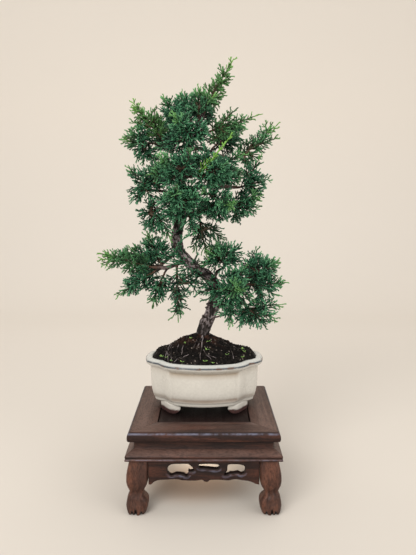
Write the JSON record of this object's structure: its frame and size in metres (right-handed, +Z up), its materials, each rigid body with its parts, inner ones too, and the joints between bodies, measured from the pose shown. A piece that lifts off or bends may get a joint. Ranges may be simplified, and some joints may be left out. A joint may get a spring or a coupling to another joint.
{
  "type": "potted bonsai juniper",
  "caption": "Small informal-upright juniper bonsai with feathery scale foliage, planted in a pale mokko-shaped ceramic pot that stands on a low carved wooden stand.",
  "frame": {"origin": "on the ground under the middle of the whole object's box", "axes": "+Z up along the trunk, +Y from the front of the stand to its back, +X to the right seen from the front"},
  "size_m": [0.2062, 0.1496, 0.47],
  "materials": {
    "foliage": "living scale foliage, deep blue-green with lighter tips",
    "fresh_foliage": "living young foliage, yellow-green",
    "bark": "rough grey-brown fibrous bark, redder on the twigs",
    "soil": "damp dark granular soil with a few seedlings",
    "glaze": "glazed stoneware, ivory with ochre shading and small iron specks",
    "drain_mesh": "black plastic mesh",
    "stand_wood": "polished dark red-brown hardwood, carved",
    "stand_panel": "polished dark red-brown hardwood board"
  },
  "bodies": {
    "root": {"apron_back": "stand_wood", "apron_front": "stand_wood", "apron_left": "stand_wood", "apron_right": "stand_wood", "drain_screen_left": "drain_mesh", "drain_screen_right": "drain_mesh", "leg_back_left": "stand_wood", "leg_back_right": "stand_wood", "leg_front_left": "stand_wood", "leg_front_right": "stand_wood", "moulding_back": "stand_wood", "moulding_front": "stand_wood", "moulding_left": "stand_wood", "moulding_right": "stand_wood", "pot": "glaze", "soil": "soil", "spray_apex": "foliage", "spray_back_left_high": "foliage", "spray_back_left_mid": "foliage", "spray_back_low": "foliage", "spray_back_mid": "foliage", "spray_back_right_high": "foliage", "spray_back_right_mid": "foliage", "spray_back_top": "foliage", "spray_bright": "fresh_foliage", "spray_corner_left": "foliage", "spray_far_right": "foliage", "spray_front_low": "foliage", "spray_front_mid": "foliage", "spray_front_right": "foliage", "spray_front_right_low": "foliage", "spray_front_top": "foliage", "spray_left_foot": "foliage", "spray_pad_left_back": "foliage", "spray_pad_left_drop": "foliage", "spray_pad_left_end": "foliage", "spray_pad_left_hang": "foliage", "spray_pad_left_tip": "foliage", "spray_pad_left_top": "foliage", "spray_pad_right_back": "foliage", "spray_pad_right_end": "foliage", "spray_pad_right_front": "foliage", "spray_pad_right_high": "foliage", "spray_pad_right_low": "foliage", "spray_pad_right_top": "foliage", "spray_peak": "foliage", "spray_right_hem": "foliage", "spray_right_high": "foliage", "spray_right_low": "foliage", "spray_right_mid": "foliage", "spray_shoulder_left": "foliage", "spray_side_left_high": "foliage", "spray_side_left_mid": "foliage", "spray_top_left": "foliage", "top_panel": "stand_panel", "top_rail_back": "stand_wood", "top_rail_front": "stand_wood", "top_rail_left": "stand_wood", "top_rail_right": "stand_wood", "tree_wood": "bark"}
  },
  "joints": []
}
